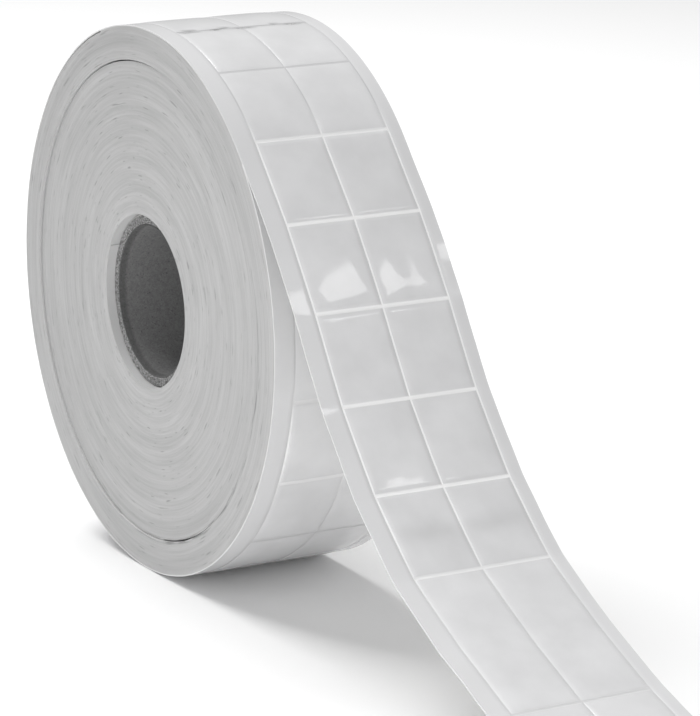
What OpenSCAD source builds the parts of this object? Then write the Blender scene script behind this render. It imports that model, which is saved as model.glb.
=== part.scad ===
// Roll of embossed reflective PVC tape, standing on its rim with a free tail.
// The roll's axis is X, the tail leaves towards -Y, Z is up, and the origin is
// the middle of the core's bore. A clear film is welded to a backing along a
// grid of lines, which leaves two columns of raised cells between two margins.

/* [Roll] */
// Width of the tape
tape_w = 50; // [25:1:75]
// Outer radius of the full roll
roll_r = 76.9; // [60:0.1:90]
// Radius of the groove between the tight inner turns and the outer turns
groove_r = 67; // [50:0.5:70]
// How far the inner turns stand aside of the outer ones
turns_shift = 0.5; // [0:0.1:1.5]

/* [Core] */
// Radius of the core's bore
bore_r = 21; // [15:0.5:22]
// Outer radius of the core
core_r = 24; // [23:0.5:30]
// Length of the core, a little under the tape's width
core_len = 44; // [40:0.5:50]

/* [Tape] */
// Thickness of the film where it is raised into a cell
film_t = 0.2; // [0.1:0.01:0.3]
// Thickness of the backing
backing_t = 0.12; // [0.08:0.01:0.2]
// Width of a weld line
weld_w = 0.9; // [0.4:0.1:1.5]
// Depth of a weld line in the film
weld_d = 0.1; // [0.02:0.01:0.15]
// Distance from one cross weld to the next
cell_len = 25.7; // [20:0.1:32]
// Plain margin on the -X edge, up to the first lengthwise weld
margin_near = 6; // [2:0.5:8]
// Plain margin on the +X edge
margin_far = 4; // [2:0.5:8]

/* [Tail] */
// Angle from the top of the roll at which the tail leaves it
takeoff = 48.5; // [40:0.5:60]
// Distance along the tail to its first cross weld
first_weld = 22.4; // [5:0.1:25]
// Length of the tail from the roll to its cut end
tail_len = 265; // [255:1:300]

/* [Hidden] */

glue_gap = 0.02;          // left between pieces that are glued or welded face to face
running_gap = 0.1;        // between the inner turns and the outer ones
hinge_gap = 0.3;          // between two stretches of the tail
open_arc = 7;             // degrees left open under the tail, where the turn below shows
board_plies = 4;          // grey board between the core's liner and its outer wrap
ply_t = (core_r - bore_r) / (board_plies + 2);
strip_t = 0.1;            // adhesive strip that holds the tape's start
strip_arc = 70;
turns_in_r = core_r + strip_t + 2 * glue_gap;
film_in_r = roll_r - film_t;
backing_in_r = film_in_r - glue_gap - backing_t;
turns_out_r = backing_in_r - 2 * glue_gap;
half_w = tape_w / 2;
weld_x = [-half_w + margin_near, (margin_near - margin_far) / 2, half_w - margin_far];

// The tail's side profile: each stretch is [length, degrees that it steepens by].
// The straight lead takes the length that brings the tail's end down to the floor.
bends = [[30, 11], [30, -8], [30, -9.5], [30, -17], [30, -3], [30, -8], [30, -14]];
function turned(i) = i == 0 ? takeoff : turned(i - 1) + bends[i - 1][1];
function drop_of(i) = let (a = turned(i), b = turned(i + 1), l = bends[i][0])
    (cos(a) - cos(b)) * l / ((b - a) * PI / 180);
function sum(v, i = 0) = i == len(v) ? 0 : v[i] + sum(v, i + 1);
thick = film_t + glue_gap + backing_t;
full_drop = roll_r * cos(takeoff) + roll_r - thick;
lead_len = (full_drop - sum([for (i = [0 : len(bends) - 1]) drop_of(i)])) / sin(takeoff);
flat_len = tail_len;      // the last stretch lies flat, for as long as is asked of it
stretches = concat([[lead_len, 0]], bends, [[flat_len, 0]]);

// Going s along a stretch that starts at slope a and turns by k degrees a millimetre
function along(s, a, k) = k == 0 ? s * [-cos(a), -sin(a)]
    : 180 / (PI * k) * [sin(a) - sin(a + k * s), cos(a + k * s) - cos(a)];
// Point and slope [y, z, slope] at distance s along the tail
function tail_at(s, i = 0, p = roll_r * [-sin(takeoff), cos(takeoff)], a = takeoff) =
    let (l = stretches[i][0], k = stretches[i][1] / l)
    s <= l ? concat(p + along(s, a, k), [a + k * s])
           : tail_at(s - l, i + 1, p + along(l, a, k), a + k * l);
// The same point, moved by d square to the tape, outwards if d is positive
function raised(s, d) = let (q = tail_at(s)) [q[0] - d * sin(q[2]), q[1] + d * cos(q[2])];

// The tail's hinges: at the roll, then at every second cross weld
tail_nodes = 5;
function hinge_s(k) = k == 0 ? 0
    : k == tail_nodes ? tail_len
    : first_weld + (2 * k - 1) * cell_len;
welds = [for (s = [first_weld : cell_len : tail_len]) s];

// A ring, or part of one, about the roll's axis; angles run from the top to the front
module arc_of(outline, from, to) {
    rotate([0, 90, 0]) rotate([0, 0, 180 + from])
        rotate_extrude(angle = to - from, $fn = 180) polygon(outline);
}

module ring(r_in, r_out, length, shift = 0) {
    translate([shift - length / 2, 0, 0]) rotate([0, 90, 0])
        difference() {
            cylinder(h = length, r = r_out, $fn = 180);
            translate([0, 0, -1]) cylinder(h = length + 2, r = r_in, $fn = 180);
        }
}

// A strip of the tail between two distances, two heights and two places across it
module strip(from, to, low, high, x0, x1) {
    step = 4;
    n = ceil((to - from) / step);
    ss = [for (i = [0 : n]) from + (to - from) * i / n];
    outline = concat([for (i = [0 : n]) raised(ss[i], high)],
                     [for (i = [n : -1 : 0]) raised(ss[i], low)]);
    translate([x0, 0, 0]) rotate([90, 0, 90])
        linear_extrude(height = x1 - x0) polygon(outline);
}

// The core, from the bore outwards

module core_tube(i) {
    ring(bore_r + i * ply_t + (i == 0 ? 0 : glue_gap), bore_r + (i + 1) * ply_t, core_len);
}

module core_liner() color("dimgray") core_tube(0);

module core_ply(i) color("gray") core_tube(i);

module core_wrap() color("darkgray") core_tube(board_plies + 1);

// A strip of adhesive tape that holds the first turn to the core
module core_start_strip() color("ivory")
    arc_of([[core_r + glue_gap, -core_len / 2], [core_r + glue_gap + strip_t, -core_len / 2],
            [core_r + glue_gap + strip_t, core_len / 2], [core_r + glue_gap, core_len / 2]],
           -strip_arc / 2, strip_arc / 2);

// The wound tape

module inner_turns() color("silver") ring(turns_in_r, groove_r, tape_w, turns_shift);

module outer_turns() color("lightgray") ring(groove_r + running_gap, turns_out_r, tape_w);

// The last turn ends at the take-off, where it becomes the tail
turn_end = takeoff - hinge_gap / 2 / roll_r * 180 / PI;
turn_start = takeoff - 360 + open_arc;

module outer_turn_backing() color("gainsboro")
    arc_of([[backing_in_r, -half_w], [backing_in_r + backing_t, -half_w],
            [backing_in_r + backing_t, half_w], [backing_in_r, half_w]], turn_start, turn_end);

module outer_turn_film() color("whitesmoke") difference() {
    arc_of(concat([[film_in_r, -half_w], [roll_r, -half_w]],
                  [for (x = weld_x) each [[roll_r, x - weld_w / 2], [roll_r - weld_d, x - weld_w / 2],
                                          [roll_r - weld_d, x + weld_w / 2], [roll_r, x + weld_w / 2]]],
                  [[roll_r, half_w], [film_in_r, half_w]]), turn_start, turn_end);
    for (s = [first_weld - cell_len : -cell_len : -roll_r * (360 - open_arc) * PI / 180])
        rotate([takeoff + s / roll_r * 180 / PI, 0, 0])
            translate([weld_x[0], -weld_w / 2, roll_r - weld_d])
                cube([weld_x[2] - weld_x[0], weld_w, 1]);
}

// The tail, in stretches that hinge on each other

module tail_backing(k) color("gainsboro")
    strip(hinge_s(k - 1) + hinge_gap / 2, hinge_s(k) - (k == tail_nodes ? 0 : hinge_gap / 2),
          -thick, -thick + backing_t, -half_w, half_w);

module tail_film(k) color("whitesmoke") {
    from = hinge_s(k - 1) + hinge_gap / 2;
    to = hinge_s(k) - (k == tail_nodes ? 0 : hinge_gap / 2);
    difference() {
        strip(from, to, -film_t, 0, -half_w, half_w);
        for (x = weld_x)
            strip(from - 1, to + 1, -weld_d, 1, x - weld_w / 2, x + weld_w / 2);
        for (s = welds)
            if (s > from - weld_w && s < to + weld_w)
                let (q = tail_at(s))
                    translate([weld_x[0], q[0], q[1]]) rotate([q[2], 0, 0])
                        translate([0, -weld_w / 2, -weld_d])
                            cube([weld_x[2] - weld_x[0], weld_w, 1]);
    }
}

core_liner();
core_ply(1);  // core_ply_1
core_ply(2);  // core_ply_2
core_ply(3);  // core_ply_3
core_ply(4);  // core_ply_4
core_wrap();
core_start_strip();
inner_turns();
outer_turns();
outer_turn_backing();
outer_turn_film();
tail_backing(1);  // tail_1_backing
tail_film(1);  // tail_1_film
tail_backing(2);  // tail_2_backing
tail_film(2);  // tail_2_film
tail_backing(3);  // tail_3_backing
tail_film(3);  // tail_3_film
tail_backing(4);  // tail_4_backing
tail_film(4);  // tail_4_film
tail_backing(5);  // tail_5_backing
tail_film(5);  // tail_5_film
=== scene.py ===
# %% [markdown]
# # A roll of embossed reflective tape
# The roll stands on its rim. Its tape is a clear prismatic PVC film welded to a
# white PVC backing along a grid of lines, so that each window of the grid is a
# sealed, slightly puffed cell. The tape is wound on a grey board core, and its
# free tail comes off the front and runs down to the floor.
# The CAD model holds the sizes and the joints. This file gives the pieces the
# shapes and finishes that the eye sees, and hangs the last turn, the tail's end,
# the wound turns and the core's plies on their CAD bodies.

# %% Load the frame
import math
import random

import bpy
import numpy as np
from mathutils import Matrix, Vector, noise


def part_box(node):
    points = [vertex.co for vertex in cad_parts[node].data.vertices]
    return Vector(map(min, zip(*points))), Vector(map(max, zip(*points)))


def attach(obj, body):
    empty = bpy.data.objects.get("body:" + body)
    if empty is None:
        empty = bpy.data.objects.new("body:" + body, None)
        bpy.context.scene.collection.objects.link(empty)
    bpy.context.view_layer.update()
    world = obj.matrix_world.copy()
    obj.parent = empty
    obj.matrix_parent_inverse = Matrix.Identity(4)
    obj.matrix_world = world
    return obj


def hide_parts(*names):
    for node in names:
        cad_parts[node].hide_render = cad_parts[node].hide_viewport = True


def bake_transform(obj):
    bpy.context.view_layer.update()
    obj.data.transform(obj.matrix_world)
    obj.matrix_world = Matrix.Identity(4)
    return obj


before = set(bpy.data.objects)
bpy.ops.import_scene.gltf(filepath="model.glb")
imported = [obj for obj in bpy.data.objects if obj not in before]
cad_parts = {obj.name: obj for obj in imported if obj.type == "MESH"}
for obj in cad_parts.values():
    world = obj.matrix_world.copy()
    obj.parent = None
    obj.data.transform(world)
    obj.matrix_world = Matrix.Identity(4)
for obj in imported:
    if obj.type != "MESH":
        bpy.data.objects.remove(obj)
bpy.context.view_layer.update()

scene = bpy.context.scene
mm = 0.001

# %% [markdown]
# ## Sizes
# The roll's radius, the tape's width and the core's radii are read from the
# frame. The tail's line is a few arcs that meet without a kink, given as their
# length and the degrees by which each one steepens: a design decision that is
# easier to read, and to change, than a list of points. The straight lead takes
# up the length that is left, so that the last stretch lies on the floor.

# %% Driving sizes
film_low, film_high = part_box("outer_turn_film")
roll_r = film_high[2]
half_w = film_high[0]
core_out_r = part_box("core_wrap")[1][2]
core_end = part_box("core_wrap")[1][0]
groove_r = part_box("inner_turns")[1][2]
turns_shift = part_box("inner_turns")[1][0] - half_w
floor_z = film_low[2]

film_t = 0.20 * mm
backing_t = 0.14 * mm
tape_t = film_t + backing_t
takeoff = math.radians(48.5)       # from the top of the roll, towards the front
bends = [(30 * mm, 11), (30 * mm, -8), (30 * mm, -9.5), (30 * mm, -17),
         (30 * mm, -3), (30 * mm, -8), (30 * mm, -14)]
tail_len = 265 * mm
first_weld = 22.4 * mm             # from the take-off to the tail's first cross weld
cell_len = 25.7 * mm
weld_x = [-half_w + 6 * mm, 1 * mm, half_w - 4 * mm]
cross_half = 0.42 * mm             # half the width of a cross weld
long_half = 0.21 * mm              # half the width of a lengthwise weld
print("roll radius", round(roll_r / mm, 2), "mm, groove at", round(groove_r / mm, 2), "mm")

# %% [markdown]
# ## The line that the tape follows
# One function turns a distance along the tape into a place. Before the take-off
# the tape lies on the roll, a spiral that loses one thickness a turn; after it
# come the arcs. Distances are measured from the take-off, so the cross welds,
# which run unbroken from the roll onto the tail, need no join.

# %% The tape's path
def arc_step(length, slope, rate):
    """How far along Y and Z an arc goes that starts at a slope and turns at a rate."""
    if abs(rate) < 1e-9:
        return -length * np.cos(slope), -length * np.sin(slope)
    return ((np.sin(slope) - np.sin(slope + rate * length)) / rate,
            (np.cos(slope + rate * length) - np.cos(slope)) / rate)


def tail_arcs():
    """Each stretch as (start, y, z, slope, rate), the straight lead first."""
    slopes = [takeoff]
    for _, degrees in bends:
        slopes.append(slopes[-1] + math.radians(degrees))
    fall = sum(arc_step(length, slope, math.radians(degrees) / length)[1]
               for (length, degrees), slope in zip(bends, slopes))
    needed = roll_r * math.cos(takeoff) + roll_r - tape_t
    lead = (needed + fall) / math.sin(takeoff)
    y, z = -roll_r * math.sin(takeoff), roll_r * math.cos(takeoff)
    arcs, start, slope = [], 0.0, takeoff
    for length, degrees in [(lead, 0)] + bends + [(tail_len, 0)]:
        rate = math.radians(degrees) / length
        arcs.append((start, y, z, slope, rate))
        dy, dz = arc_step(length, slope, rate)
        y, z, start, slope = y + dy, z + dz, start + length, slope + rate * length
    return arcs


ARCS = tail_arcs()


def tape_line(s):
    """Y, Z and slope of the tape's outer face at distances s from the take-off."""
    s = np.asarray(s, float)
    angle = takeoff + s / roll_r
    r = roll_r + tape_t * s / (2 * math.pi * roll_r)
    y, z, slope = -r * np.sin(angle), r * np.cos(angle), angle
    for start, y0, z0, slope0, rate in ARCS:
        on = s >= start
        dy, dz = arc_step(s - start, slope0, rate)
        y, z = np.where(on, y0 + dy, y), np.where(on, z0 + dz, z)
        slope = np.where(on, slope0 + rate * (s - start), slope)
    return y, z, slope


end_y, end_z, _ = tape_line(tail_len)
print("tail ends at", round(float(end_y) / mm, 1), round(float(end_z) / mm, 1), "mm")

# %% [markdown]
# ## Camera and light
# The camera stands to the left of the tail and a little above it, far off with a
# long lens. The light is a bright, even studio: a pale room, a broad lamp behind
# the roll that throws the soft shadow forwards, and a small window-like lamp in
# front that shows as patches on the glossy cells.

# %% Camera
view_turn, view_drop = math.radians(29.6), math.radians(13.74)
forward = Vector((math.sin(view_turn) * math.cos(view_drop),
                  math.cos(view_turn) * math.cos(view_drop), -math.sin(view_drop)))
right = forward.cross(Vector((0, 0, 1))).normalized()
up = right.cross(forward)
aim = right * 35.6 * mm - up * 18.4 * mm
camera = bpy.data.objects.new("camera", bpy.data.cameras.new("camera"))
scene.collection.objects.link(camera)
camera.location = aim - forward * 1049.5 * mm
camera.rotation_mode = "QUATERNION"
camera.rotation_quaternion = forward.to_track_quat("-Z", "Y")
camera.data.sensor_width = 36
camera.data.lens = 188.3
camera.data.clip_start, camera.data.clip_end = 0.01, 50
scene.camera = camera
scene.view_settings.view_transform = "Standard"


# %% Lamps, room and floor
def soft_lamp(name, place, target, width, height, power):
    """A rectangular studio lamp that faces a target."""
    data = bpy.data.lights.new(name, "AREA")
    data.shape, data.size, data.size_y, data.energy = "RECTANGLE", width, height, power
    lamp = bpy.data.objects.new(name, data)
    scene.collection.objects.link(lamp)
    lamp.visible_camera = False
    lamp.location = place
    lamp.rotation_mode = "QUATERNION"
    lamp.rotation_quaternion = (Vector(target) - Vector(place)).to_track_quat("-Z", "Y")
    return lamp


# broad and high behind the roll, for the film's top and the shadow
soft_lamp("back_lamp", (-0.14, 0.68, 1.22), (0, -0.05, -0.03), 1.0, 0.8, 20.5)
# a weak fill from the front
soft_lamp("front_lamp", (0.30, -1.50, 0.50), (0, -0.05, 0), 1.0, 1.0, 3.2)
# small and bright, for the patches on the cells
soft_lamp("window_lamp", (0.49, -0.60, 0.765), (0, -0.08, 0.02), 0.08, 0.08, 0.12)
# low at the left, for the wound face
soft_lamp("face_lamp", (-0.30, -0.29, 0.0), (0, -0.03, 0), 0.15, 0.15, 0.47)

world = bpy.data.worlds.new("pale_room")
scene.world = world
world.use_nodes = True
world.node_tree.nodes["Background"].inputs["Color"].default_value = (1, 1, 1, 1)
world.node_tree.nodes["Background"].inputs["Strength"].default_value = 0.44

floor_half = 6.0
floor_mesh = bpy.data.meshes.new("floor")
floor_mesh.from_pydata([(x, y, floor_z) for x, y in
                        ((-floor_half, -floor_half), (floor_half, -floor_half),
                         (floor_half, floor_half), (-floor_half, floor_half))],
                       [], [(0, 1, 2, 3)])
floor = bpy.data.objects.new("floor", floor_mesh)
scene.collection.objects.link(floor)

# %% [markdown]
# ## Two helpers for the finishes
# Colours are written as sRGB hex, because that is how they are picked, and one
# function turns them to the linear light that Blender works in. Another adds a
# node with its settings and its links, for materials and Geometry Nodes alike.


# %% Helpers
def tone(hex_code, alpha=1.0):
    """sRGB hex to linear light."""
    channels = [int(hex_code[i:i + 2], 16) / 255 for i in (1, 3, 5)]
    return tuple(c / 12.92 if c <= 0.04045 else ((c + 0.055) / 1.055) ** 2.4
                 for c in channels) + (alpha,)


def add(tree, kind, sockets=None, **settings):
    """A node with its settings; each socket takes a value or another node's output."""
    node = tree.nodes.new(kind)
    for name, value in settings.items():
        setattr(node, name, value)
    for name, value in (sockets or {}).items():
        if isinstance(value, bpy.types.NodeSocket):
            tree.links.new(value, node.inputs[name])
        else:
            node.inputs[name].default_value = value
    return node


def new_finish(name):
    """An empty material and its tree."""
    material = bpy.data.materials.new(name)
    material.use_nodes = True
    material.node_tree.nodes.clear()
    return material, material.node_tree


def surface(tree, sockets):
    """The last two nodes of a finish."""
    shader = add(tree, "ShaderNodeBsdfPrincipled", sockets)
    add(tree, "ShaderNodeOutputMaterial", {"Surface": shader.outputs[0]})


# %% [markdown]
# ## Finish: embossed prismatic PVC film
# Calendered clear PVC whose inner face carries rows of tiny prisms. The windows
# look silvery grey under a gloss skin; where the weld has crushed the prisms the
# white backing shows through, so the lines are paler and a little duller. On top
# of the roll the lines are painted grey, as painted shade, and low on the tail
# they are greyer too. The crinkled weld and a band across one row are darkened
# with painted shade. The mesh carries four attributes: the welds, the plain
# margins, the greyed welds and the painted shade of the crease marks, and the
# colours follow them. The prism rows are 0.18 mm apart on real tape, too fine to
# show, so they are drawn 0.6 mm apart and very shallow.

# %% Film
def film_finish():
    material, tree = new_finish("embossed_prismatic_pvc_film")
    place = add(tree, "ShaderNodeUVMap", uv_map="flat")
    weld = add(tree, "ShaderNodeAttribute", attribute_name="weld")
    plain = add(tree, "ShaderNodeAttribute", attribute_name="plain")
    greyed_weld = add(tree, "ShaderNodeAttribute", attribute_name="greyed_weld")
    crease_shade = add(tree, "ShaderNodeAttribute", attribute_name="crease_shade")
    cloud = add(tree, "ShaderNodeTexNoise",
                {"Vector": place.outputs[0], "Scale": 1 / (14 * mm), "Detail": 4.0})
    cell = add(tree, "ShaderNodeMix", {"Factor": cloud.outputs["Fac"],
                                       "A": tone("#CACACB"), "B": tone("#E2E2E3")},
               data_type="RGBA")
    cell_or_margin = add(tree, "ShaderNodeMix",
                         {"Factor": plain.outputs["Fac"], "A": cell.outputs["Result"],
                          "B": tone("#D6D6D7")}, data_type="RGBA")
    # The weld lines turn grey with the mask of greyed welds: painted shade on top of the roll, and
    # greyer low on the tail.
    line = add(tree, "ShaderNodeMix", {"Factor": greyed_weld.outputs["Fac"],
                                       "A": tone("#F2F2F2"), "B": tone("#BEBEBF")},
               data_type="RGBA")
    welded = add(tree, "ShaderNodeMix",
                 {"Factor": weld.outputs["Fac"], "A": cell_or_margin.outputs["Result"],
                  "B": line.outputs["Result"]}, data_type="RGBA")
    # Painted shade: the crinkled weld's creases and a band across one row are mixed towards dark
    # grey.
    colour = add(tree, "ShaderNodeMix",
                 {"Factor": crease_shade.outputs["Fac"], "A": welded.outputs["Result"],
                  "B": tone("#757575")}, data_type="RGBA")
    rough = add(tree, "ShaderNodeMapRange",
                {"Value": weld.outputs["Fac"], "To Min": 0.26, "To Max": 0.6})
    gloss = add(tree, "ShaderNodeMapRange",
                {"Value": weld.outputs["Fac"], "To Min": 0.55, "To Max": 0.1})
    prisms = add(tree, "ShaderNodeTexVoronoi",
                 {"Vector": place.outputs[0], "Scale": 1 / (0.6 * mm), "Randomness": 0.1},
                 distance="MANHATTAN")
    fine = add(tree, "ShaderNodeBump", {"Height": prisms.outputs["Distance"],
                                        "Strength": 0.05, "Distance": 0.02 * mm})
    peel = add(tree, "ShaderNodeTexNoise",
               {"Vector": place.outputs[0], "Scale": 1 / (3 * mm), "Detail": 2.0})
    bump = add(tree, "ShaderNodeBump", {"Height": peel.outputs["Fac"],
                                        "Normal": fine.outputs["Normal"],
                                        "Strength": 0.35, "Distance": 0.05 * mm})
    surface(tree, {"Base Color": colour.outputs["Result"],
                   "Roughness": rough.outputs["Result"], "IOR": 1.53,
                   "Coat Weight": gloss.outputs["Result"], "Coat Roughness": 0.045, "Coat IOR": 1.5,
                   "Normal": bump.outputs["Normal"]})
    return material


FILM = film_finish()

# %% [markdown]
# ## Finish: white PVC backing
# Calendered opaque PVC, satin, with the faint pebble that the calender rolls
# leave, about 0.8 mm across.

# %% Backing
def backing_finish():
    material, tree = new_finish("calendered_pvc_backing")
    place = add(tree, "ShaderNodeUVMap", uv_map="flat")
    cloud = add(tree, "ShaderNodeTexNoise",
                {"Vector": place.outputs[0], "Scale": 1 / (25 * mm), "Detail": 4.0})
    colour = add(tree, "ShaderNodeMix", {"Factor": cloud.outputs["Fac"],
                                         "A": tone("#D4D4D3"), "B": tone("#DEDEDC")},
                 data_type="RGBA")
    pebble = add(tree, "ShaderNodeTexNoise",
                 {"Vector": place.outputs[0], "Scale": 1 / (0.8 * mm), "Detail": 2.0})
    bump = add(tree, "ShaderNodeBump", {"Height": pebble.outputs["Fac"],
                                        "Strength": 0.3, "Distance": 0.03 * mm})
    surface(tree, {"Base Color": colour.outputs["Result"], "Roughness": 0.46,
                   "IOR": 1.53, "Normal": bump.outputs["Normal"]})
    return material


BACKING = backing_finish()

# %% [markdown]
# ## Finish: slit edges of the wound tape
# Each turn shows a cut edge 0.34 mm thick. The slitting knives leave it satin,
# some turns cleaner than others, so the face is a record of fine rings with a
# few dark dashes along the turns. In the groove where the loose outer turns
# begin, painted shade darkens the face in patches, most of it low at the front.
# The pattern reads the distance from the roll's axis and the direction round it,
# which has no seam.

# %% Wound edge
def wound_finish():
    material, tree = new_finish("slit_edges_of_wound_tape")
    place = add(tree, "ShaderNodeTexCoord").outputs["Object"]
    flat = add(tree, "ShaderNodeVectorMath", {0: place, 1: (0, 1, 1)}, operation="MULTIPLY")
    radius = add(tree, "ShaderNodeVectorMath", {0: flat.outputs[0]}, operation="LENGTH")
    way = add(tree, "ShaderNodeVectorMath", {0: flat.outputs[0]}, operation="NORMALIZE")

    def rings(ring_size, wander, detail, seed):
        """Noise that changes every ring_size across the turns and slowly round them."""
        slow = add(tree, "ShaderNodeVectorMath", {0: way.outputs[0], "Scale": wander},
                   operation="SCALE")
        across = add(tree, "ShaderNodeMath", {0: radius.outputs["Value"], 1: 1 / ring_size},
                     operation="MULTIPLY")
        step = add(tree, "ShaderNodeCombineXYZ", {"X": across.outputs[0]})
        where = add(tree, "ShaderNodeVectorMath", {0: slow.outputs[0], 1: step.outputs[0]},
                    operation="ADD")
        return add(tree, "ShaderNodeTexNoise",
                   {"Vector": where.outputs[0], "W": seed, "Scale": 1.0, "Detail": detail},
                   noise_dimensions="4D").outputs["Fac"]

    broad = rings(3.5 * mm, 0.8, 3.0, 1.0)
    fine = rings(0.55 * mm, 2.6, 4.0, 2.0)
    dash = rings(0.5 * mm, 11.0, 0.0, 3.0)
    base = add(tree, "ShaderNodeMix", {"Factor": broad, "A": tone("#9F9F9F"),
                                       "B": tone("#BEBEBE")}, data_type="RGBA")
    line = add(tree, "ShaderNodeMapRange", {"Value": fine, "From Min": 0.35,
                                            "From Max": 0.65, "To Min": 0.89, "To Max": 1.06})
    lined = add(tree, "ShaderNodeVectorMath", {0: base.outputs["Result"],
                                               "Scale": line.outputs["Result"]},
                operation="SCALE")
    mark = add(tree, "ShaderNodeMapRange", {"Value": dash, "From Min": 0.71,
                                            "From Max": 0.79, "To Max": 0.6})
    edge = add(tree, "ShaderNodeMix", {"Factor": mark.outputs["Result"],
                                       "A": lined.outputs[0], "B": tone("#707070")},
               data_type="RGBA")
    # Painted shade in the groove where the two packs meet, in patches, most of it low at the front.
    off_groove = add(tree, "ShaderNodeMath", {0: radius.outputs["Value"], 1: groove_r},
                     operation="SUBTRACT")
    aside = add(tree, "ShaderNodeMath", {0: off_groove.outputs[0]}, operation="ABSOLUTE")
    near = add(tree, "ShaderNodeMapRange", {"Value": aside.outputs[0], "From Min": 0.25 * mm,
                                            "From Max": 0.95 * mm, "To Min": 1.0,
                                            "To Max": 0.0})
    below = add(tree, "ShaderNodeVectorMath", {0: way.outputs[0], 1: (0, -0.75, -0.66)},
                operation="DOT_PRODUCT")
    share = add(tree, "ShaderNodeMapRange", {"Value": below.outputs["Value"],
                                             "From Min": 0.35, "From Max": 0.85,
                                             "To Max": 0.75})
    patches = add(tree, "ShaderNodeMapRange", {"Value": dash, "From Min": 0.40,
                                               "From Max": 0.58})
    groove_shade = add(tree, "ShaderNodeMath", {0: near.outputs["Result"], 1: share.outputs["Result"]},
               operation="MULTIPLY")
    patchy_groove_shade = add(tree, "ShaderNodeMath", {0: groove_shade.outputs[0], 1: patches.outputs["Result"]},
                operation="MULTIPLY")
    groove_shaded = add(tree, "ShaderNodeMix", {"Factor": patchy_groove_shade.outputs[0],
                                         "A": edge.outputs["Result"], "B": tone("#5E5E5E")},
                 data_type="RGBA")
    facing = add(tree, "ShaderNodeNewGeometry").outputs["Normal"]
    sideways = add(tree, "ShaderNodeSeparateXYZ", {0: facing})
    squared = add(tree, "ShaderNodeMath", {0: sideways.outputs["X"], 1: 2.0},
                  operation="POWER")
    colour = add(tree, "ShaderNodeMix", {"Factor": squared.outputs[0], "A": tone("#CDCDCD"),
                                         "B": groove_shaded.outputs["Result"]}, data_type="RGBA")
    bump = add(tree, "ShaderNodeBump", {"Height": fine, "Strength": 0.3,
                                        "Distance": 0.10 * mm})
    surface(tree, {"Base Color": colour.outputs["Result"], "Roughness": 0.5, "IOR": 1.5,
                   "Normal": bump.outputs["Normal"]})
    return material


WOUND = wound_finish()

# %% [markdown]
# ## Finishes: grey board and the start strip
# Core board is recycled paper: grey, matt and fibrous, paler where a knife has
# cut it. The strip that holds the tape's start is plain masking tape.

# %% Board and strip
def board_finish(name, dark, pale, speck_share, mouth):
    """Grey board: short fibres, dark specks, and a darker band of mouth's depth at its ends."""
    material, tree = new_finish(name)
    place = add(tree, "ShaderNodeTexCoord").outputs["Object"]
    fibres = add(tree, "ShaderNodeTexNoise",
                 {"Vector": place, "Scale": 1 / (0.8 * mm), "Detail": 5.0,
                  "Roughness": 0.7, "Distortion": 1.5})
    spread = add(tree, "ShaderNodeMapRange", {"Value": fibres.outputs["Fac"],
                                              "From Min": 0.38, "From Max": 0.62})
    board = add(tree, "ShaderNodeMix", {"Factor": spread.outputs["Result"],
                                        "A": tone(dark), "B": tone(pale)}, data_type="RGBA")
    speck = add(tree, "ShaderNodeTexNoise",
                {"Vector": place, "Scale": 1 / (0.5 * mm), "Detail": 1.0})
    speckle = add(tree, "ShaderNodeMapRange",
                  {"Value": speck.outputs["Fac"], "From Min": 0.60 - speck_share,
                   "From Max": 0.68 - speck_share, "To Max": 0.7})
    specked = add(tree, "ShaderNodeMix", {"Factor": speckle.outputs["Result"],
                                          "A": board.outputs["Result"],
                                          "B": tone("#3A3A3A")}, data_type="RGBA")
    split = add(tree, "ShaderNodeSeparateXYZ", {0: place})
    depth = add(tree, "ShaderNodeMath", {0: split.outputs["X"]}, operation="ABSOLUTE")
    # Darker towards the ends of the tube, over a band of mouth's depth.
    darker_ends = add(tree, "ShaderNodeMapRange",
               {"Value": depth.outputs[0], "From Min": core_end - mouth,
                "From Max": core_end - 0.6 * mouth, "To Min": 1.0, "To Max": 0.62})
    colour = add(tree, "ShaderNodeVectorMath", {0: specked.outputs["Result"],
                                                "Scale": darker_ends.outputs["Result"]},
                 operation="SCALE")
    bump = add(tree, "ShaderNodeBump", {"Height": fibres.outputs["Fac"],
                                        "Strength": 0.7, "Distance": 0.12 * mm})
    surface(tree, {"Base Color": colour.outputs[0], "Roughness": 0.9, "IOR": 1.45,
                   "Normal": bump.outputs["Normal"]})
    return material


BORE_PAPER = board_finish("dark_core_paper", "#606060", "#747474", -0.05, 2.6 * mm)
BOARD = board_finish("grey_core_board", "#707070", "#E0E0E0", 0.07, -1 * mm)


def strip_finish():
    material, tree = new_finish("masking_tape")
    place = add(tree, "ShaderNodeTexCoord").outputs["Object"]
    crepe = add(tree, "ShaderNodeTexNoise",
                {"Vector": place, "Scale": 1 / (0.7 * mm), "Detail": 3.0})
    colour = add(tree, "ShaderNodeMix", {"Factor": crepe.outputs["Fac"],
                                         "A": tone("#C4C4C2"), "B": tone("#D8D8D6")},
                 data_type="RGBA")
    bump = add(tree, "ShaderNodeBump", {"Height": crepe.outputs["Fac"],
                                        "Strength": 0.5, "Distance": 0.05 * mm})
    surface(tree, {"Base Color": colour.outputs["Result"], "Roughness": 0.75,
                   "Normal": bump.outputs["Normal"]})
    return material


STRIP = strip_finish()


def floor_finish():
    material, tree = new_finish("matt_white_paper_sweep")
    surface(tree, {"Base Color": tone("#F6F6F6"), "Roughness": 0.9,
                   "Specular IOR Level": 0.1})
    return material


floor.data.materials.append(floor_finish())

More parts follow.
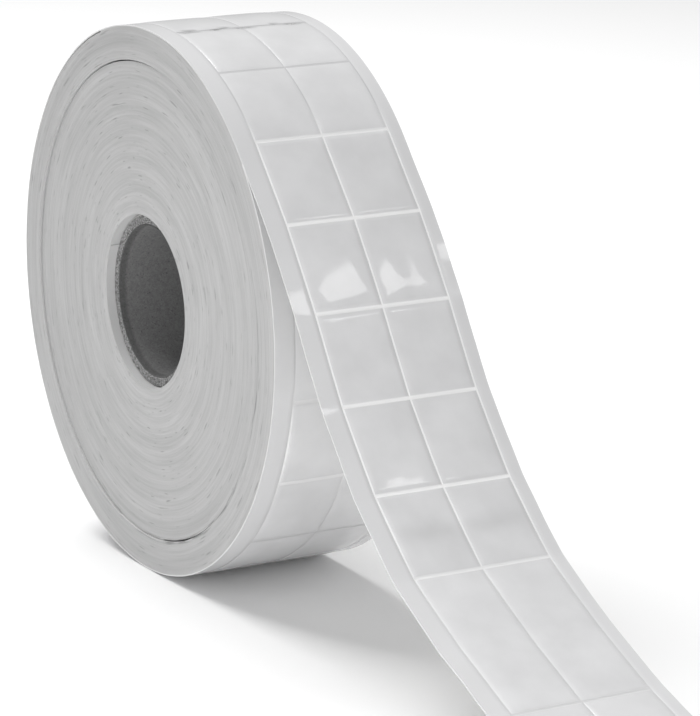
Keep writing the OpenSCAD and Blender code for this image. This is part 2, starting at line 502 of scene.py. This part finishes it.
# %% [markdown]
# ## The tape's surface
# The film could be a flat grid with the welds painted on, but the light shows
# them as grooves between puffed windows, so they are modelled. A grid that is
# close at the welds and open between them keeps the relief sharp with few faces.
# Each window gets its own fill of air, and the whole strip a slight waviness, as
# a soft film has; that breaks the lamps' reflections up as on the real tape. Four
# places differ from the rest: a weld that crinkled, its creases darkened with
# painted shade; one that didn't take; one that stays white under the tail, where
# the other welds on the roll are painted grey as shade; and a row across which a
# darker band of painted shade runs.

# %% Relief of the tape
def stops(low, high, lines, half, step):
    """Grid positions from low to high, close together at the lines."""
    fixed = {low, high}
    for line in lines:
        fixed.update(p for p in (line + half * k for k in (-1.5, -1.15, -0.8, 0, 0.8, 1.15, 1.5))
                     if low < p < high)
    fixed = sorted(fixed)
    result = [fixed[0]]
    for a, b in zip(fixed, fixed[1:]):
        parts = max(1, math.ceil((b - a) / step - 1e-6))
        result += [a + (b - a) * i / parts for i in range(1, parts + 1)]
    return np.array(result)


def ease(t):
    """Smooth step from 0 to 1."""
    t = np.clip(t, 0, 1)
    return t * t * (3 - 2 * t)


def groove(distance, half):
    """1 in the floor of a weld, 0 outside it."""
    return 1 - ease((np.abs(distance) / half - 0.8) / 0.7)


def cloud(s, x, size_s, size_x, seed):
    """Smooth noise over the strip."""
    return np.array([[noise.noise(Vector((a / size_s, b / size_x, seed))) for b in x]
                     for a in s])


def near(s, place, width, power=2):
    """1 at a place along the tape, fading out about a width away."""
    return np.exp(-(((s - place) / width) ** power))


kink = first_weld - 3 * cell_len           # a cross weld that crinkled as it was wound on
missed_row = 5                             # the cross weld before this row didn't take
missed_weld = first_weld + missed_row * cell_len
white_weld = -400 * mm                     # a cross weld left white, without the painted shade that greys the welds on the roll
shade_band = first_weld + 3.5 * cell_len       # where a darker band of painted shade crosses the cells
weld_depth = 0.12 * mm
flat_weld_depth = 0.03 * mm
kink_depth = 0.25 * mm
lift = 0.03 * mm                           # the cells' middle plane, over the tape's path

# %% Cells that fold at the welds
SPAN = np.linspace(first_weld, tail_len, 1500)


def cell_chord():
    """Off the roll a cell stays flatter than its path, and the tape folds at the welds."""
    cells = np.floor((SPAN - first_weld) / cell_len)
    slope = tape_line(SPAN)[2]
    mean = np.array([slope[cells == cell].mean() for cell in cells])
    window = np.hanning(41)
    padded = np.pad(mean, 20, mode="edge")
    softened = np.convolve(padded, window / window.sum(), mode="valid")
    rise = np.cumsum(slope - softened) * (SPAN[1] - SPAN[0])
    return 0.7 * rise * ease((tail_len - SPAN) / cell_len)


CHORD = cell_chord()
print("cells stand off their path by", round(CHORD.min() / mm, 2), "to",
      round(CHORD.max() / mm, 2), "mm")


# %% Relief, cell by cell
def cell_grid(s, x):
    """Which cell each grid point lies in, and how far along and across that cell it is."""
    rows = np.floor((s - first_weld) / cell_len).astype(int)
    along = (s - first_weld) / cell_len - rows
    rows = np.where(rows == missed_row, missed_row - 1, rows)
    cols = np.where(x < weld_x[1], 0, 1)
    low = np.where(cols == 0, weld_x[0], weld_x[1])
    high = np.where(cols == 0, weld_x[1], weld_x[2])
    across = np.clip((x - low) / (high - low), 0, 1)
    return rows, cols, along, across


def per_cell(rows, cols, pick):
    """One value for each cell, spread over the grid."""
    return np.array([[pick(int(2 * row + col)) for col in (0, 1)] for row in rows])[:, cols]


def air(number):
    """How far the air in a cell lifts its middle."""
    return random.Random(111 + number).uniform(0.10, 0.24) * mm


def ripple(number):
    """How rippled a cell is: hardly, a little or fully."""
    return random.Random(296 + number).choice((0.1, 0.3, 1.0))


def dome(t):
    """1 over most of a cell, 0 at its welds."""
    return 1 - np.abs(2 * t - 1) ** 4


def weld_greying(s):
    """1 where the welds are greyer and flatter: on top, where the grey is painted shade, and low on
    the tail.
    """
    on_top = 1 - ease((s + 17 * mm) / (19 * mm))
    low_down = 0.8 * ease((s - 105 * mm) / (45 * mm))
    return np.maximum(on_top, low_down) * (1 - near(s, white_weld, 16 * mm))


def waviness(s, x):
    """How far the whole strip, film and backing, strays from its path."""
    chord = np.interp(s, SPAN, CHORD, left=0.0)[:, None]
    free = ease(s / (15 * mm))[:, None]
    margin = np.clip((np.abs(x - weld_x[1]) - 19 * mm) / (6 * mm), 0, 1)
    middle = cloud(s, x, 22 * mm, 16 * mm, 5.0) * 0.10 * mm
    edges = cloud(s, x, 13 * mm, 30 * mm, 8.0) * 0.35 * mm * margin * (0.2 + 0.8 * free)
    return chord + lift + middle + edges


def kink_marks(s, x):
    """The dark, broken line of the crinkled weld, its shade painted on."""
    streaks = ease((cloud(s, x, 1.3 * mm, 4.5 * mm, 12.0) - 0.02) / 0.25)
    broad = near(s, kink, 1.1 * mm)[:, None] * streaks
    hairline = 0.45 * near(s, kink, 0.45 * mm)[:, None]
    return np.maximum(broad, hairline)


def relief(s, x):
    """Height of the film's face, the strip's waviness, and the masks for the finish."""
    rows, cols, along, across = cell_grid(s, x)
    inside = ((x > weld_x[0]) & (x < weld_x[2])).astype(float)
    missed = near(s, missed_weld, 5 * mm, 4)
    pillow = np.outer(np.maximum(dome(along), missed), dome(across)) * inside
    dents = cloud(s, x, 15 * mm, 3.4 * mm, 3.0) * 0.05 * mm * per_cell(rows, cols, ripple)
    to_cross = np.minimum(along, 1 - along) * cell_len
    crosswise = np.outer(groove(to_cross, cross_half) * (1 - missed), inside)
    lengthwise = np.max([groove(x - line, long_half) for line in weld_x], axis=0)
    weld = np.maximum(crosswise, lengthwise[None, :])
    # Welds greyed and flattened: the grey is painted shade on top of the roll, and greyer low on
    # the tail.
    greyed_weld = np.outer(weld_greying(s), np.ones(len(x)))
    depth = weld_depth + (flat_weld_depth - weld_depth) * greyed_weld
    # The crinkled weld: its marks dent the film, and their dark grey is painted shade.
    crease_shade = kink_marks(s, x) * inside
    height = (pillow * (per_cell(rows, cols, air) + dents) - weld * depth
              - crease_shade * kink_depth)
    # A darker band of painted shade across one row, carried with the crease marks.
    band_shade = np.outer(near(s, shade_band, 3 * mm), dome(across) * inside)
    masks = {"weld": weld, "greyed_weld": greyed_weld, "crease_shade": np.maximum(crease_shade, 0.15 * band_shade),
             "plain": np.outer(np.ones(len(s)), 1 - inside) * (1 - weld)}
    return height, waviness(s, x), masks


# %% [markdown]
# ## From strip to shell
# Film and backing are each a closed shell: the upper and lower faces are the
# same grid at two heights, with a rim round them. A flat UV map in metres keeps
# the fine pattern square to the tape however it bends.


# %% Shell builder
def lay(s, x, height):
    """Points of a grid at a height above the tape's line."""
    y, z, slope = tape_line(s)
    points = np.empty((len(s), x.shape[-1], 3))
    points[..., 0] = x
    points[..., 1] = y[:, None] - height * np.sin(slope)[:, None]
    points[..., 2] = z[:, None] + height * np.cos(slope)[:, None]
    return points


def shell(name, s, x, upper, lower, material, masks=None):
    """A closed shell between two heights over the grid s by x."""
    rows, cols = len(s), len(x)
    count = rows * cols
    points = np.concatenate([lay(s, x, upper).reshape(-1, 3), lay(s, x, lower).reshape(-1, 3)])
    index = np.arange(count).reshape(rows, cols)
    a, b, c, d = index[:-1, :-1], index[1:, :-1], index[1:, 1:], index[:-1, 1:]
    top = np.stack([a, b, c, d], -1).reshape(-1, 4)
    bottom = top[:, ::-1] + count
    rim = []
    for line in (index[:, 0][::-1], index[:, -1], index[0, :], index[-1, :][::-1]):
        rim += [(p, q, q + count, p + count) for p, q in zip(line, line[1:])]
    mesh = bpy.data.meshes.new(name)
    mesh.from_pydata(points.tolist(), [], np.concatenate([top, bottom, rim]).tolist())
    flat_uv = np.tile(np.stack(np.meshgrid(x, s), -1).reshape(-1, 2), (2, 1))
    corner = np.empty(len(mesh.loops), int)
    mesh.loops.foreach_get("vertex_index", corner)
    layer = mesh.uv_layers.new(name="flat")
    layer.data.foreach_set("uv", flat_uv[corner].ravel())
    for mask_name, values in (masks or {}).items():
        both = np.concatenate([values.ravel(), np.zeros(count)])
        mesh.attributes.new(mask_name, "FLOAT", "POINT").data.foreach_set("value", both)
    mesh.shade_smooth()
    mesh.set_sharp_from_angle(angle=math.radians(40))
    mesh.materials.append(material)
    piece = bpy.data.objects.new(name, mesh)
    scene.collection.objects.link(piece)
    return piece


def tape_piece(name, start, end):
    """Film and backing of the tape from one distance to another."""
    first = math.floor((start - first_weld) / cell_len)
    last = math.ceil((end - first_weld) / cell_len)
    crosses = [first_weld + k * cell_len for k in range(first, last + 1)]
    s = stops(start, end, crosses, cross_half, 1.4 * mm)
    x = stops(-half_w, half_w, weld_x, long_half, 1.4 * mm)
    height, waves, masks = relief(s, x)
    film = shell(name + "_film", s, x, waves + height, waves - film_t, FILM, masks)
    backing = shell(name + "_backing", s, x, waves - film_t, waves - tape_t, BACKING)
    return film, backing


# %% [markdown]
# ## The last turn and the tail
# The last turn rides with the roll's outer body. The tail is cut into pieces at
# every second cross weld, halfway between two hinges, so each piece holds a hinge
# in its middle. The pieces are laid where the tail lies, and only the last one
# rides with a CAD body, the tail's end.

# %% Last turn
turn_start = -(2 * math.pi - math.radians(2)) * roll_r
turn_film, turn_backing = tape_piece("last_turn", turn_start, first_weld - cell_len)
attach(turn_film, "outer_turn")
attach(turn_backing, "outer_turn")
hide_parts("outer_turn_film")
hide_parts("outer_turn_backing")
print("last turn:", len(turn_film.data.polygons), "faces")

# %% Tail
hinges = [0.0] + [first_weld + (2 * k - 1) * cell_len for k in range(1, 5)]


cut = first_weld - cell_len
for k, hinge in enumerate(hinges):
    upto = first_weld + 2 * k * cell_len
    film, backing = tape_piece(f"tail_stretch_{k + 1}", cut, upto)
    for piece, layer in ((film, "film"), (backing, "backing")):
        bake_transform(piece)
        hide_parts(f"tail_{k + 1}_{layer}")
    cut = upto
film, backing = tape_piece("tail_end", cut, tail_len)
for piece in (film, backing):
    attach(piece, "tail_5")
print("tail:", round(tail_len / mm), "mm in", len(hinges) + 1, "pieces")

# %% [markdown]
# ## The wound turns
# Under the last turn lie some 150 more of the same tape. They could be a plain
# ring with lines painted on its face, but the real face is the edges of a
# spiral, each turn a little proud of the next or sunk behind it. Geometry Nodes
# wind it: a spiral curve, pushed along the axis by noise that changes from turn
# to turn, with the tape's cut end swept along it. There are two packs, because
# the inner one turns with the core while the loose outer one stays with the tail;
# a gap of a fraction of a turn lets them pass each other.


# %% Winding tree
def set_mode(node, mode):
    """The normal mode is a socket in some versions and a setting in others."""
    if hasattr(node, "mode"):
        node.mode = mode
    else:
        node.inputs["Mode"].default_value = mode


def winding_tree():
    """A spiral of tape with uneven edges, laid along the X axis."""
    tree = bpy.data.node_groups.new("winding", "GeometryNodeTree")
    names = [("Inner Radius", "NodeSocketFloat"), ("Outer Radius", "NodeSocketFloat"),
             ("Turns", "NodeSocketFloat"), ("Points a Turn", "NodeSocketInt"),
             ("Thickness", "NodeSocketFloat"), ("Width", "NodeSocketFloat"),
             ("Shift", "NodeSocketFloat"), ("Stagger", "NodeSocketFloat"),
             ("Start Turn", "NodeSocketFloat"),
             ("Seed", "NodeSocketFloat"), ("Finish", "NodeSocketMaterial")]
    for name, kind in names:
        tree.interface.new_socket(name, in_out="INPUT", socket_type=kind)
    tree.interface.new_socket("Geometry", in_out="OUTPUT", socket_type="NodeSocketGeometry")
    given = add(tree, "NodeGroupInput").outputs
    spiral = add(tree, "GeometryNodeCurveSpiral",
                 {"Resolution": given["Points a Turn"], "Rotations": given["Turns"],
                  "Start Radius": given["Inner Radius"], "End Radius": given["Outer Radius"],
                  "Height": 0.0})
    along = add(tree, "GeometryNodeSplineParameter")
    turn = add(tree, "ShaderNodeMath", {0: along.outputs["Factor"], 1: given["Turns"]},
               operation="MULTIPLY")
    place = add(tree, "GeometryNodeInputPosition")
    around = add(tree, "ShaderNodeVectorMath", {0: place.outputs[0]}, operation="NORMALIZE")
    seeded = add(tree, "ShaderNodeVectorMath", {0: around.outputs[0], 1: given["Seed"]},
                 operation="ADD")

    def push(turns_apart, share):
        """Noise from -1 to 1 that changes every few turns, times its share of the stagger."""
        w = add(tree, "ShaderNodeMath", {0: turn.outputs[0], 1: 1 / turns_apart},
                operation="MULTIPLY")
        wave = add(tree, "ShaderNodeTexNoise",
                   {"Vector": seeded.outputs[0], "W": w.outputs[0], "Scale": 0.7,
                    "Detail": 1.0}, noise_dimensions="4D")
        centred = add(tree, "ShaderNodeMapRange",
                      {"Value": wave.outputs["Fac"], "From Min": 0.25, "From Max": 0.75,
                       "To Min": -share, "To Max": share}, clamp=False)
        return centred.outputs["Result"]

    both = add(tree, "ShaderNodeMath", {0: push(3.0, 1.0), 1: push(11.0, 0.6)},
               operation="ADD")
    amount = add(tree, "ShaderNodeMath", {0: both.outputs[0], 1: given["Stagger"]},
                 operation="MULTIPLY")
    offset = add(tree, "ShaderNodeMath", {0: amount.outputs[0], 1: given["Shift"]},
                 operation="ADD")
    lift = add(tree, "ShaderNodeCombineXYZ", {"Z": offset.outputs[0]})
    moved = add(tree, "GeometryNodeSetPosition",
                {"Geometry": spiral.outputs[0], "Offset": lift.outputs[0]})
    upright = add(tree, "GeometryNodeSetCurveNormal", {"Curve": moved.outputs[0]})
    set_mode(upright, "Z_UP")
    tape_end = add(tree, "GeometryNodeCurvePrimitiveQuadrilateral",
                   {"Width": given["Thickness"], "Height": given["Width"]})
    swept = add(tree, "GeometryNodeCurveToMesh",
                {"Curve": upright.outputs[0], "Profile Curve": tape_end.outputs[0],
                 "Fill Caps": True})
    started = add(tree, "ShaderNodeCombineXYZ", {"Z": given["Start Turn"]})
    spun = add(tree, "GeometryNodeTransform", {"Geometry": swept.outputs[0],
                                               "Rotation": started.outputs[0]})
    turned = add(tree, "GeometryNodeTransform", {"Geometry": spun.outputs[0],
                                                 "Rotation": (0, math.pi / 2, 0)})
    real = add(tree, "GeometryNodeRealizeInstances", {"Geometry": turned.outputs[0]})
    painted = add(tree, "GeometryNodeSetMaterial",
                  {"Geometry": real.outputs[0], "Material": given["Finish"]})
    add(tree, "NodeGroupOutput", {"Geometry": painted.outputs[0]})
    return tree


WINDING = winding_tree()


# %% Wind the two packs
def wind(name, inner, outer, shift, seed, points, start_angle, end_angle):
    """One pack of turns, as a plain mesh; the angles are from the top, as the tape runs."""
    part_turn = ((end_angle - start_angle) / (2 * math.pi)) % 1
    turns = round((outer - inner) / tape_t - part_turn) + part_turn
    holder = bpy.data.objects.new(name + "_holder", bpy.data.meshes.new(name + "_holder"))
    scene.collection.objects.link(holder)
    modifier = holder.modifiers.new("winding", "NODES")
    modifier.node_group = WINDING
    asked = {"Inner Radius": inner, "Outer Radius": outer, "Turns": float(turns),
             "Points a Turn": points, "Thickness": tape_t * 0.985, "Width": 2 * half_w,
             "Shift": shift, "Stagger": 0.045 * mm, "Seed": seed, "Finish": WOUND,
             "Start Turn": start_angle + math.pi}
    for item in WINDING.interface.items_tree:
        if item.in_out == "INPUT":
            modifier[item.identifier] = asked[item.name]
    graph = bpy.context.evaluated_depsgraph_get()
    mesh = bpy.data.meshes.new_from_object(holder.evaluated_get(graph))
    bpy.data.objects.remove(holder)
    mesh.name = name
    mesh.shade_smooth()
    mesh.set_sharp_from_angle(angle=math.radians(40))
    piece = bpy.data.objects.new(name, mesh)
    scene.collection.objects.link(piece)
    print(name, round(turns, 1), "turns,", len(mesh.polygons), "faces, box",
          [round(v / mm, 1) for v in np.ptp([v.co for v in mesh.vertices], axis=0)])
    return piece


half_t = tape_t / 2
inner_start = math.radians(-60)
inner_end = math.radians(68)       # the inner pack's last turn ends at the front
outer_start = math.radians(194)    # and the outer pack's first begins past the bottom
inner_pack = wind("wound_turns", core_out_r + 0.15 * mm + half_t,
                  groove_r + 0.02 * mm - half_t, turns_shift, 11.0, 96,
                  inner_start, inner_end)
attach(inner_pack, "wound_core")
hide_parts("inner_turns")
outer_pack = wind("top_turns", groove_r + 0.04 * mm + half_t,
                  roll_r - tape_t - 0.01 * mm - half_t, 0.0, 23.0, 144,
                  outer_start, takeoff - math.radians(2))
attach(outer_pack, "outer_turn")
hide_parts("outer_turns")

# %% [markdown]
# ## The core
# A paper tube is wound from several plies of board and parted off with a knife,
# which leaves the ends a little ragged. Six plies are turned here as separate
# rings with uneven ends, each riding with the turns that are wound on them.


# %% Core plies
def ply(name, r_in, r_out, seed, material):
    """A tube with ragged ends, its edges slightly broken."""
    rng = random.Random(seed)
    steps = 180
    soft = 0.08 * mm
    outline = [(r_in, 1), (r_in + soft, 2), (r_out - soft, 2), (r_out, 1),
               (r_out, -1), (r_out - soft, -2), (r_in + soft, -2), (r_in, -1)]
    points = []
    for i in range(steps):
        angle = 2 * math.pi * i / steps
        spot = Vector((math.cos(angle), math.sin(angle), seed))
        rag = [noise.noise(spot * 9 + Vector((0, 0, side))) * 0.22 * mm
               + rng.uniform(-0.06, 0.06) * mm for side in (0, 50)]
        for r, end in outline:
            ragged = core_end - abs(rag[0 if end > 0 else 1]) - (soft if abs(end) == 1 else 0)
            points.append((math.copysign(ragged, end), r * math.cos(angle), r * math.sin(angle)))
    n = len(outline)
    faces = [(i * n + j, i * n + (j + 1) % n, ((i + 1) % steps) * n + (j + 1) % n,
              ((i + 1) % steps) * n + j) for i in range(steps) for j in range(n)]
    mesh = bpy.data.meshes.new(name)
    mesh.from_pydata(points, [], faces)
    mesh.shade_smooth()
    mesh.set_sharp_from_angle(angle=math.radians(50))
    mesh.materials.append(material)
    piece = bpy.data.objects.new(name, mesh)
    scene.collection.objects.link(piece)
    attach(piece, "wound_core")
    return piece


ply_names = ["core_liner", "core_ply_1", "core_ply_2", "core_ply_3", "core_ply_4", "core_wrap"]
ply_t = 0.48 * mm
for i, node in enumerate(ply_names):
    low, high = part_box(node)
    outer_r = high[2]
    made = ply("paper_" + node, outer_r - ply_t, outer_r, 31 + i,
               BORE_PAPER if i == 0 else BOARD)
    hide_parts(node)
print("core:", len(ply_names), "plies")

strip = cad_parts["core_start_strip"]
strip.material_slots[0].link = "OBJECT"
strip.material_slots[0].material = STRIP
